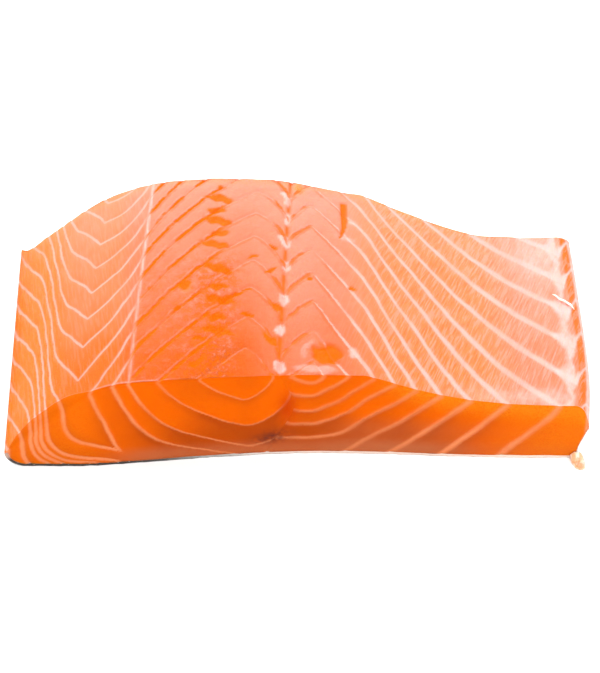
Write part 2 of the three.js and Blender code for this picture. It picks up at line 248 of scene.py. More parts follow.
    def under_height(self, x: Array, t: Array, depth: float) -> Array:
        """Height of the underside, depth above the outer face of the skin.

        At the back edge it follows the quarter ellipse of the turned-up skin, then it is level. Past
        the undercut at the belly edge it rises to the foot of the flank, by the power 1 / 1.3.

        Args:
            x: Across the fish.
            t: Share of the way to the rear cut.
            depth: Distance from the outer face of the skin.

        Returns:
            Height.
        """
        cos = np.clip((self.wrap - (x + self.edge_x)) / (self.wrap - depth), 0, 1)
        sin = np.sqrt(1 - cos * cos)
        wrapped = (1 - sin) * self.lip(t) + sin * depth
        rise = np.clip(1 - (self.edge_x - x) / self.undercut, 0, 1) ** (1 / 1.3)
        return wrapped + (self.foot_height(t) - depth) * rise

    def lean(self, s: Array) -> Array:
        """How far the fold lines lean toward +x for each millimetre of y."""
        upright = 1 - 0.75 * bump(s, self.flank_fold, 5)
        return self.slant * ease(-84, -62, s) * (1 - ease(8, 32, s)) * upright + 0.022 * bump(s, -60, 9)

    def unshear(self, x: Array, y: Array) -> Array:
        """Coordinate s across the fish, with x = s + lean(s) y."""
        return settled(lambda s: x - self.lean(s) * y, x, 4)

    def steep_arm(self, out: Array) -> Array:
        """Zigzag behind the dorsal fold: slope 1.5, then a square, then straight and easing off."""
        near, far = np.minimum(out, self.steep_reach), np.maximum(out - self.steep_reach, 0)
        return 1.5 * near + 0.45 * np.maximum(near - 7, 0) ** 2 + 5.6 * far - 3.4 * ease_area(1.5, 6, far)

    def loin_arms(self, s: Array) -> Array:
        """Zigzag from the dorsal fold to the loin seam, and on to the loin fold.

        Args:
            s: Coordinate across the fish along the fold lines.

        Returns:
            Distance along the fish.
        """
        first = np.minimum((s - self.dorsal_fold) / (self.loin_seam - self.dorsal_fold), 1)
        left = np.clip((self.loin_fold - s) / (self.loin_fold - self.loin_seam), 0, 1)
        ahead = np.maximum(first, 0)
        return 12 * first + 4 * ahead**2 + 8 * ahead**3 + 37 - 24 * left - 13 * left**2.2

    def belly_arm(self, s: Array) -> Array:
        """Zigzag of the belly half: one long arm that steepens and then eases.

        Args:
            s: Coordinate across the fish along the fold lines.

        Returns:
            Distance along the fish.
        """
        out = np.maximum(s - self.flank_fold, 0)
        bent = 2 * ease(0, 12, out) + 0.85 * ease_area(8, 20, out) - 0.95 * ease_area(34, 66, out)
        return 56.5 - 1.3 * out - bent

    def spacing(self, s: Array) -> Array:
        """Distance along the fish from one layer to the next."""
        return self.flake - 1.5 * bump(s, -48, 14) + 0.45 * bump(s, -62, 9) + 4.4 * ease(10, 60, s)

    def unsag(self, s: Array, y: Array) -> Array:
        """y before the dorsal fold dips near the front cut."""
        sag = self.fold_sag * bump(s, self.dorsal_fold, 8)
        return settled(lambda level: y + sag * ease(-24, -46, level), y, 5)

    def stretch(self, y: Array) -> Array:
        """Evens out the layers, which lie closer together toward +y."""
        return -np.log(np.maximum(1 - self.flake_stretch * y, 1e-3)) / self.flake_stretch

    def left_lean(self, s: Array) -> Array:
        """Shift across the fish for each millimetre of depth, back half."""
        return 0.26 + 0.78 * ease(-52, -8, s)

    def right_lean(self, s: Array) -> Array:
        """Shift across the fish for each millimetre of depth, belly half."""
        return 0.72 + 0.25 * bump(s, 5.7, 7) - 0.3 * ease(62, 83, s)

    def left_rise(self, s: Array, d: Array) -> Array:
        """Height by which the back half's layers rise again toward the septum."""
        q = np.maximum(s - self.loin_fold, 0) / (self.septum - self.loin_fold)
        return 14 * q**1.4 * np.exp(-d / 22)

    def right_rise(self, s: Array, d: Array) -> Array:
        """Height by which the belly half's layers rise again toward the septum."""
        q = np.maximum(self.flank_fold - s, 0) / (self.flank_fold - self.septum)
        return 6.3 * q**1.3 * np.exp(-d / 16)

    def turn_in(self, d: Array) -> Array:
        """How far the layers behind the dorsal fold turn in under it: a square past 6 mm of depth."""
        return 0.028 * np.maximum(d - 6, 0) ** 2

    def layers(self, x: Array, y: Array, z: Array) -> tuple[Array, Array, Array]:
        """Layer numbers at points of the flesh.

        On the top the two folds are sharp; below it they are rounded by the hyperbola
        (a + sqrt(a^2 + soft^2)) / 2.

        Args:
            x: Across the fish.
            y: Along the fish.
            z: Height; above the top counts as on the top.

        Returns:
            Layer number of the back half, of the belly half, and the distance from the septum
            between them, which is negative in the back half.
        """
        d = np.maximum(self.top_height(x, y) - z, 0)
        s = self.unshear(x, y)
        base = self.stretch(self.unsag(s, y))
        fold, soft = self.loin_fold, 5 * ease(0, 7, d)
        sharp = np.minimum(s, fold)
        rounded = (fold + s - np.sqrt((s - fold) ** 2 + soft**2)) / 2
        inner = sharp + (rounded - sharp) * ease(-24, -14, s)
        u = inner - self.left_lean(inner) * (d + self.left_rise(s, d))
        behind = self.steep_arm(self.dorsal_fold - s + self.turn_in(d))
        ahead = self.loin_arms(u)
        u = u + (s - self.turn_in(d) - u) * ease(-2, 2, behind - ahead)
        zigzag = np.maximum(behind, ahead)
        left = (base - self.stretch(self.zigzag_start + zigzag)) / self.spacing(u)
        fold = self.flank_fold
        sharp = np.maximum(s, fold)
        rounded = (fold + s + np.sqrt((s - fold) ** 2 + soft**2)) / 2
        inner = sharp + (rounded - sharp) * ease(22, 10, s)
        u = inner + self.right_lean(inner) * (d + self.right_rise(s, d))
        base = self.stretch(y - 1.6 * ease(-28, -43, y) * ease(8, 16, s))
        right = (base - self.stretch(self.zigzag_start + self.belly_arm(u))) / self.spacing(u)
        seam = self.septum + 3.4 * np.sin(np.clip(d, 0, 30) * 0.115) - 0.13 * np.maximum(d - 14, 0)
        return left, right, s - seam


# ---- meshes ----
def turn_outward(mesh: bpy.types.Mesh) -> None:
    """Turns the whole mesh over if its signed volume, the sum of a.(b x c) / 6, is negative.

    Args:
        mesh: A closed mesh.
    """
    mesh.calc_loop_triangles()
    corners = np.empty(len(mesh.loop_triangles) * 3, np.int32)
    mesh.loop_triangles.foreach_get("vertices", corners)
    co = np.empty(len(mesh.vertices) * 3, np.float32)
    mesh.vertices.foreach_get("co", co)
    a, b, c = co.reshape(-1, 3)[corners.reshape(-1, 3)].transpose(1, 0, 2).astype(float)
    if (a * np.cross(b, c)).sum() < 0:
        mesh.flip_normals()


def make_piece(name: str, points: Array, faces: Array, *finishes: bpy.types.Material,
               closed: bool = True) -> bpy.types.Object:
    """Turns arrays into a mesh object at the origin.

    Args:
        name: Name of the piece.
        points: (n, 3) corners in millimetres, centred on the fillet's box.
        faces: (m, 4) corner numbers of quads; a triangle repeats its last corner.
        *finishes: Its materials.
        closed: Whether it is a closed body, shaded smooth and with its faces turned outward.

    Returns:
        The linked object, with its mesh in metres.
    """
    mesh = bpy.data.meshes.new(name)
    triangle = faces[:, 2] == faces[:, 3]
    sizes = np.where(triangle, 3, 4)
    keep = np.ones(faces.shape, bool)
    keep[triangle, 3] = False
    mesh.vertices.add(len(points))
    mesh.vertices.foreach_set("co", (points * MM).astype(np.float32).ravel())
    mesh.loops.add(int(sizes.sum()))
    mesh.loops.foreach_set("vertex_index", faces[keep].astype(np.int32))
    mesh.polygons.add(len(faces))
    starts = np.concatenate([[0], np.cumsum(sizes)[:-1]])
    mesh.polygons.foreach_set("loop_start", starts.astype(np.int32))
    mesh.update(calc_edges=True)
    mesh.polygons.foreach_set("use_smooth", np.full(len(faces), closed))
    mesh.validate()
    for finish in finishes:
        mesh.materials.append(finish)
    if closed:
        turn_outward(mesh)
    piece = bpy.data.objects.new(name, mesh)
    bpy.context.collection.objects.link(piece)
    return piece


def paint(piece: bpy.types.Object, name: str, *values: Array) -> None:
    """Stores three numbers for each corner as a vector attribute, for the finish to read.

    Args:
        piece: The object.
        name: Name of the attribute.
        *values: Three arrays, in the order of the corners.
    """
    data = np.stack([np.broadcast_to(v, values[0].shape).ravel() for v in values], axis=-1)
    attribute = piece.data.attributes.new(name, "FLOAT_VECTOR", "POINT")
    attribute.data.foreach_set("vector", data.astype(np.float32).ravel())


def grid_faces(rows: int, columns: int, start: int = 0, ring: bool = False) -> Array:
    """Quads of a grid of points numbered row by row.

    Args:
        rows: Number of rows.
        columns: Points in a row.
        start: Number of the first point.
        ring: Whether each row closes on itself.

    Returns:
        Corner numbers of shape (n, 4).
    """
    wide = columns if ring else columns - 1
    i, j = np.meshgrid(np.arange(rows - 1), np.arange(wide), indexing="ij")
    k = (j + 1) % columns
    quads = np.stack([i * columns + j, (i + 1) * columns + j, (i + 1) * columns + k, i * columns + k], -1)
    return quads.reshape(-1, 4) + start


def slab(upper: Array, lower: Array) -> tuple[Array, Array]:
    """Closed body between two grids of the same shape (rows, columns, 3).

    Args:
        upper: Grid of the upper side.
        lower: Grid of the lower side.

    Returns:
        Points and quads: the upper grid, the lower grid turned over, and a wall along each side.
    """
    rows, columns = upper.shape[:2]
    count = rows * columns
    points = np.concatenate([upper.reshape(-1, 3), lower.reshape(-1, 3)])
    top = grid_faces(rows, columns)
    bottom = grid_faces(rows, columns, count)[:, ::-1]
    number = np.arange(count).reshape(rows, columns)
    rim = np.concatenate([number[:, 0], number[-1, 1:], number[-2::-1, -1], number[0, -2:0:-1]])
    after = np.roll(rim, -1)
    wall = np.stack([rim, rim + count, after + count, after], -1)
    return points, np.concatenate([top, bottom, wall])


def capped(rings: Array) -> tuple[Array, Array]:
    """Closed body through rings of shape (rows, ring, 3), with a fan to a middle point at each end.

    Args:
        rings: The rings, one row each.

    Returns:
        Points and faces: the rings' quads, then the two fans.
    """
    rows, ring = rings.shape[:2]
    count = rows * ring
    loop = np.arange(ring)
    after = np.roll(loop, -1)
    first, last = np.full(ring, count), np.full(ring, count + 1)
    fans = (np.stack([loop, after, first, first], -1),
            np.stack([after + count - ring, loop + count - ring, last, last], -1))
    points = np.concatenate([rings.reshape(-1, 3), rings[0].mean(0)[None], rings[-1].mean(0)[None]])
    return points, np.concatenate([grid_faces(rows, ring, ring=True), *fans])


# ---- finishes ----
class Signal:
    """A number that varies over a piece: an output of a finish's graph, on which sums add nodes."""

    def __init__(self, graph: Graph, socket: Socket) -> None:
        """Wraps one output of the graph."""
        self.graph, self.socket = graph, socket

    def __add__(self, other: Signal | float) -> Signal:
        """The sum."""
        return self.graph.maths("ADD", self, other)

    def __sub__(self, other: Signal | float) -> Signal:
        """The difference."""
        return self.graph.maths("SUBTRACT", self, other)

    def __mul__(self, other: Signal | float) -> Signal:
        """The product."""
        return self.graph.maths("MULTIPLY", self, other)

    def __abs__(self) -> Signal:
        """The number without its sign."""
        return self.graph.maths("ABSOLUTE", self)

    def held(self) -> Signal:
        """The number held to 0..1."""
        return self.graph.maths("ADD", self, clamp=True)


class Graph:
    """Node tree of one finish: each call adds a node and returns what it gives."""

    def __init__(self, name: str) -> None:
        """Starts an empty tree with its shader and output.

        Args:
            name: Name of the material.
        """
        self.material = bpy.data.materials.new(name)
        self.material.use_nodes = True
        self.tree = self.material.node_tree
        self.tree.nodes.clear()
        self.shader = self.tree.nodes.new("ShaderNodeBsdfPrincipled")
        output = self.tree.nodes.new("ShaderNodeOutputMaterial")
        self.tree.links.new(self.shader.outputs["BSDF"], output.inputs["Surface"])

    def feed(self, node: bpy.types.Node, inputs: dict[int | str, object]) -> None:
        """Gives a node its inputs.

        Args:
            node: The node.
            inputs: A value, socket or signal for each input, by number or name.
        """
        for key, value in inputs.items():
            value = value.socket if isinstance(value, Signal) else value
            if isinstance(value, bpy.types.NodeSocket):
                self.tree.links.new(value, node.inputs[key])
            else:
                node.inputs[key].default_value = value

    def node(self, kind: str, inputs: dict[int | str, object], **settings: object) -> bpy.types.Node:
        """Adds a node.

        Args:
            kind: Blender's name of the node type.
            inputs: Value, socket or signal for each input.
            **settings: Properties of the node.

        Returns:
            The new node.
        """
        made = self.tree.nodes.new(kind)
        for key, value in settings.items():
            setattr(made, key, value)
        self.feed(made, inputs)
        return made

    def number(self, kind: str, inputs: dict[int | str, object], out: int | str = 0,
               **settings: object) -> Signal:
        """Adds a node and returns one of its outputs."""
        return Signal(self, self.node(kind, inputs, **settings).outputs[out])

    def place(self) -> Socket:
        """Object coordinates in millimetres."""
        return self.scaled(self.node("ShaderNodeTexCoord", {}).outputs["Object"], (1 / MM,) * 3)

    def scaled(self, vector: Socket, by: tuple[float, float, float]) -> Socket:
        """The vector with each part multiplied."""
        return self.node("ShaderNodeVectorMath", {0: vector, 1: by}, operation="MULTIPLY").outputs[0]

    def parts(self, vector: Socket) -> list[Signal]:
        """The three numbers of a vector."""
        return [Signal(self, part) for part in self.node("ShaderNodeSeparateXYZ", {0: vector}).outputs]

    def joined(self, x: Signal, y: Signal, z: Signal) -> Socket:
        """A vector of three numbers."""
        return self.node("ShaderNodeCombineXYZ", {0: x, 1: y, 2: z}).outputs[0]

    def painted(self, name: str) -> list[Signal]:
        """The three numbers of a painted attribute."""
        return self.parts(self.node("ShaderNodeAttribute", {}, attribute_name=name).outputs["Vector"])

    def maths(self, operation: str, a: Signal, b: Signal | float = 0.0, clamp: bool = False) -> Signal:
        """One sum on a number or two."""
        return self.number("ShaderNodeMath", {0: a, 1: b}, operation=operation, use_clamp=clamp)

    def most(self, first: Signal, *others: Signal) -> Signal:
        """The largest of some numbers."""
        return reduce(lambda a, b: self.maths("MAXIMUM", a, b), others, first)

    def step(self, value: Signal, low: Signal | float, high: Signal | float) -> Signal:
        """0 below low, 1 above high, and a smooth step between; falls where low is above high."""
        inputs = {"Value": value, "From Min": low, "From Max": high}
        return self.number("ShaderNodeMapRange", inputs, "Result", interpolation_type="SMOOTHSTEP")

    def pick(self, share: Signal, a: Signal | float, b: Signal | float) -> Signal:
        """Number a where share is 0 and b where it is 1."""
        return self.number("ShaderNodeMix", {0: share, 2: a, 3: b}, data_type="FLOAT")

    def blend(self, share: Signal, a: Socket | Colour, b: Colour, way: str = "MIX") -> Socket:
        """Colour a where share is 0 and b where it is 1, blended in Blender's way of that name."""
        inputs = {0: share, 6: (*a, 1.0) if isinstance(a, tuple) else a, 7: (*b, 1.0)}
        return self.node("ShaderNodeMix", inputs, data_type="RGBA", blend_type=way).outputs[2]

    def coated(self, colour: Socket | Colour, *coats: tuple[Signal, Colour]) -> Socket:
        """The colour with each coat blended over it in turn, by its share."""
        return reduce(lambda under, coat: self.blend(coat[0], under, coat[1]), coats, colour)

    def noise(self, vector: Socket, scale: float, detail: float = 2.0, rough: float = 0.5,
              twist: float = 0.0) -> Signal:
        """Cloud noise, about 0..1, with scale in turns per unit of the vector."""
        inputs = {"Vector": vector, "Scale": scale, "Detail": detail, "Roughness": rough}
        inputs["Distortion"] = twist
        return self.number("ShaderNodeTexNoise", inputs, "Fac")

    def raised(self, height: Signal, depth: float = 1.0) -> Socket:
        """Normal of a height of so many millimetres."""
        inputs = {"Height": height, "Distance": depth * MM, "Strength": 1.0}
        return self.node("ShaderNodeBump", inputs).outputs[0]

    def finish(self, **inputs: object) -> bpy.types.Material:
        """Sets the shader's sockets, named with underscores for spaces, and returns the material."""
        self.feed(self.shader, {key.replace("_", " "): value for key, value in inputs.items()})
        return self.material


class Cut(Enum):
    """Which way the knife or the filleting laid the muscle open."""

    ALONG = "top"
    ACROSS = "cut"


@dataclass(frozen=True)
class MuscleFinish:
    """Wet salmon muscle with its sheets of fat.

    The painted layer numbers give the distance to the nearest sheet of fat in millimetres, which is
    compared with the painted width of the sheet. Fibres are noise drawn out along the muscle.
    """

    cut: Cut
    deep: Colour
    light: Colour
    pale: Colour
    fat: Colour
    white: Colour
    hollow: Colour
    blood: Colour
    yellow: Colour
    grain: tuple[float, float, float]
    edge: tuple[float, float]
    hair: float
    halo: float
    banding: float
    relief: float
    roughness: float
    specular: float
    scatter: float = 0.25
    scatter_radius: Colour = (1.0, 0.32, 0.12)
    scatter_depth: float = 2.0

    def make(self) -> bpy.types.Material:
        """Builds the material.

        The offset from a sheet is the layer number's distance from the nearest whole number, times
        the pitch, with noise added so that the sheets run unevenly.

        Returns:
            The material.
        """
        g = Graph(f"salmon_{self.cut.value}")
        mm = g.place()
        left, right = g.painted("left"), g.painted("right")
        side, torn, crack = g.painted("place")
        fat, hollow, blood = g.painted("stain")
        pale, deep, thread = g.painted("tint")
        yellow, strands, wet = g.painted("tone")

        ragged, fine = g.noise(mm, 0.55, 4.0, 0.6), g.noise(mm, 2.2, 2.0, 0.6)
        dapple, patch = g.noise(mm, 0.42, 4.0, 0.66, 0.2), g.noise(mm, 0.08, 3.0, 0.55)
        breaks = g.step(g.noise(mm, 0.17), 0.38, 0.52)
        uneven = g.step(g.noise(mm, 0.09), 0.3, 0.62)

        belly = g.maths("GREATER_THAN", side + ragged * 1.2 - 0.6)
        layer, pitch, width = (g.pick(belly, a, b) for a, b in zip(left, right))
        offset = (g.maths("FRACT", layer + 0.5) - 0.5) * pitch + g.noise(mm, 0.13, 1.0) - 0.5
        offset = offset + (ragged - 0.5) * g.pick(torn, 0.4, 0.8) + (fine - 0.5) * 0.24
        away = abs(offset)

        core = g.step(away, width * self.edge[0], width * self.edge[1])
        whole = core * g.pick(torn, g.pick(uneven, 0.72, 1.0), g.pick(breaks, 0.25, 1.0))
        whole = whole * (crack * -0.9 + 1.0)
        # rim: painted highlight on one side of each crack; shade: painted shade on its other side
        rim = g.step(abs(offset - 0.9), 0.5, 0.1) * crack * g.pick(breaks, 0.05, 0.35)
        shade = g.step(abs(offset + 0.9), 0.9, 0.2) * torn * g.pick(breaks, 0.1, 0.4)
        line = g.most(whole, rim, g.step(away, width * 1.7, 0.0) * self.halo) * thread
        tear = g.step(away, g.pick(breaks, 0.4, 0.9), g.pick(breaks, 0.08, 0.34))
        tear = tear * crack * g.pick(breaks, 0.45, 1.0)

        x, y, z = g.parts(mm)
        along = g.joined(x - y * g.pick(belly, -0.12, 0.35), y, z)
        fibre = g.noise(g.scaled(along, self.grain), 1.0, 3.0, 0.5, 0.25)
        hairs = g.step(fibre, 0.48, 0.62) * strands * self.hair
        # darker streaks between fibres: partly the grain's own colour, partly painted shade
        grain_and_shade = g.step(fibre, 0.48, 0.32) * strands * 0.3
        flake = g.joined(g.maths("FLOOR", layer) * 3.71, belly * 9.3, x)
        own = g.noise(g.scaled(flake, (1.0, 1.0, 0.02)), 1.0, 0.0)
        # band: a random tone for each flake, plus painted shade across it, deepest where its layer number
        # starts
        band = own * 1.6 - (g.maths("FRACT", layer) - 0.5) * 0.9 - 0.8
        deeper = band * self.banding + deep + patch * 0.5 - 0.25
        streaks = g.step(g.noise(g.scaled(mm, (0.5, 0.16, 0.3)), 1.0, 4.0, 0.6), 0.3, 0.62)
        # the white coat also carries the painted sheen and the painted highlight along the front edge
        membrane = fat * g.pick(streaks, 0.62, 1.0) + (ragged - 0.5) * (fat - fat * fat) * 1.7
        colour = g.coated(
            # deeper and pale carry painted shade and sheen besides the muscle's own tone; on the cut faces
            # yellow is painted light
            self.light, (deeper.held(), self.deep),
            ((pale * (patch * -0.7 + 1.35)).held(), self.pale),
            (yellow * g.step(fine, 0.2, 0.6), self.yellow),
            (g.most(grain_and_shade, shade), self.deep), (hairs, self.fat),
            # dapple: wet orange flesh in the dips, and pale specks on the crests as painted highlights
            (g.step(dapple, 0.5, 0.42) * wet * 0.8, self.hollow),
            (g.step(dapple, 0.53, 0.68) * wet * 0.3, self.fat),
            (line, self.fat), (membrane.held(), self.white),
            (g.most(hollow, tear), self.hollow), (blood * g.step(ragged, 0.2, 0.65), self.blood),
        )

        height = fibre * strands * self.relief + fine * g.pick(wet, 0.06, 0.25) + dapple * wet
        height = height + ragged * torn * 0.4 - tear * 0.12 + core * 0.04
        film = g.noise(mm, 0.12, 3.0, 0.6) * 0.16 + (self.roughness - 0.08)
        return g.finish(
            Base_Color=colour, Roughness=film - g.most(wet, hollow) * 0.16, Normal=g.raised(height),
            Specular_IOR_Level=self.specular, Subsurface_Weight=self.scatter,
            Subsurface_Radius=self.scatter_radius, Subsurface_Scale=self.scatter_depth * MM,
        )


@dataclass(frozen=True)
class SkinFinish:
    """Wet fish skin: small overlapping scales, dark at the back and silver toward the belly."""

    dark: Colour = (0.035, 0.024, 0.018)
    silver: Colour = (0.52, 0.53, 0.52)
    cream: Colour = (0.78, 0.73, 0.66)
    furrow: Colour = (0.8, 0.8, 0.78)
    glint: Colour = (0.9, 0.86, 0.8)
    cut_edge: Colour = (0.62, 0.42, 0.33)
    scale_rate: float = 0.42

    def make(self) -> bpy.types.Material:
        """Builds the material.

        Returns:
            The material.
        """
        g = Graph("salmon_skin")
        mm = g.place()
        across, _, edge = g.painted("skin")
        scales = g.scaled(mm, (self.scale_rate, self.scale_rate * 0.8, self.scale_rate))
        cells = g.number("ShaderNodeTexVoronoi", {"Vector": scales, "Scale": 1.0, "Randomness": 0.35})
        rim = g.step(cells, 0.25, 0.62)
        mottle = g.noise(mm, 0.09, 4.0, 0.6)
        silver = g.step(mottle * 30.0 + across - 15.0, -52.0, 8.0)
        fleck = g.step(g.noise(mm, 0.9, 2.0, 0.6), 0.62, 0.7) * g.pick(silver, 0.2, 0.06)
        colour = g.coated(self.dark, (silver, self.silver), (g.step(across, 20.0, 75.0), self.cream))
        colour = g.blend(rim * 0.35, colour, self.furrow, "MULTIPLY")
        return g.finish(
            Base_Color=g.coated(colour, (fleck, self.glint), (edge, self.cut_edge)),
            Roughness=mottle * 0.2 + 0.22, Normal=g.raised(mottle * 0.2 - rim * 0.16),
            Specular_IOR_Level=0.14, Subsurface_Weight=0.1, Subsurface_Radius=(1.0, 0.6, 0.4),
            Subsurface_Scale=1.0 * MM, Coat_Weight=0.05, Coat_Roughness=0.18,
        )


@dataclass(frozen=True)
class MembraneFinish:
    """Thin wet membrane: whitish, a little see-through, with the orange below glowing in its folds."""

    name: str
    pale: Colour
    warm: Colour
    streak: float

    def make(self) -> bpy.types.Material:
        """Builds the material.

        Returns:
            The material.
        """
        g = Graph(self.name)
        folds = g.noise(g.scaled(g.place(), (self.streak, 0.3, 0.3)), 1.0, 4.0, 0.6, 0.6)
        return g.finish(
            Base_Color=g.blend(g.step(folds, 0.35, 0.7), self.warm, self.pale),
            Roughness=folds * 0.2 + 0.25, Normal=g.raised(folds, 0.25), Subsurface_Weight=0.6,
            Subsurface_Radius=(1.0, 0.6, 0.4), Subsurface_Scale=2.5 * MM, Coat_Weight=0.3,
            Coat_Roughness=0.2,
        )


TOP_FINISH = MuscleFinish(
    cut=Cut.ALONG,
    # On the top, pale is also painted sheen and deep also painted shade.
    deep=(0.50, 0.084, 0.010), light=(0.55, 0.148, 0.078), pale=(0.58, 0.215, 0.150),
    fat=(0.62, 0.32, 0.275), white=(0.66, 0.40, 0.37), hollow=(0.60, 0.098, 0.0),
    blood=(0.12, 0.022, 0.014), yellow=(0.62, 0.20, 0.02),
    grain=(1.6, 0.13, 0.3), edge=(0.85, 0.16), hair=0.3, halo=0.14, banding=0.16, relief=0.25,
    roughness=0.40, specular=0.015,
)
CUT_FINISH = MuscleFinish(
    cut=Cut.ACROSS,
    # Cut faces: deep is mostly painted shade, pale shade low down, hollow a painted shadow, yellow painted
    # light.
    deep=(0.29, 0.040, 0.0018), light=(0.52, 0.078, 0.0), pale=(0.33, 0.085, 0.03),
    fat=(0.54, 0.165, 0.062), white=(0.5, 0.22, 0.13), hollow=(0.36, 0.028, 0.0002),
    blood=(0.07, 0.016, 0.012), yellow=(0.54, 0.13, 0.003),
    grain=(0.7, 0.4, 0.7), edge=(1.1, 0.05), hair=0.0, halo=0.12, banding=0.35, relief=0.12,
    roughness=0.42, specular=0.01,
)


# ---- the fillet ----
@dataclass(frozen=True)
class Mark:
    """An oval place on a surface: its middle, half its length and width, and its turn."""

    x: float
    y: float
    length: float
    width: float
    turn: float = 0.0

    def bell(self, x: Array, y: Array) -> Array:
        """Bell exp(-(a / length)^2 - (b / width)^2), with (a, b) the offset from the middle, turned.

        Args:
            x: First coordinate on the surface.
            y: Second coordinate.

        Returns:
            The bell, 1 at the middle.
        """
        dx, dy = x - self.x, y - self.y
        a = dx * math.cos(self.turn) + dy * math.sin(self.turn)
        b = dy * math.cos(self.turn) - dx * math.sin(self.turn)
        return np.exp(-((a / self.length) ** 2) - (b / self.width) ** 2)


@dataclass
class Surface:
    """What is known at each point of the flesh, as arrays of shape (columns, ring).

    Attributes:
        p: Place in fish coordinates, before the belly edge is swelled.
        s: Coordinate across the fish.
        left: Layer number of the back half.
        right: Layer number of the belly half.
        side: Distance from the septum, negative in the back half.
        face: 1 on the two cut faces, 0 on the top and the underside.
        over: Whether the point is on the top.
        shown: How much of the wet inside shows.
    """

    p: Array
    s: Array
    left: Array
    right: Array
    side: Array
    face: Array
    over: Array
    shown: Array

    @property
    def layer(self) -> Array:
        """Layer number of the half that the point is in."""
        return np.where(self.side < 0, self.left, self.right)

    @property
    def loin(self) -> Array:
        """1 on the loin, where the flakes are torn apart."""
        return ease(-46, -42, self.s) * ease(20, 9, self.s) * (self.face < 0.5)

    def both(self, on_top: Array | float, on_cut: Array | float) -> Array:
        """One value for the top and another for the cut faces."""
        return np.where(self.face > 0.5, on_cut, on_top)


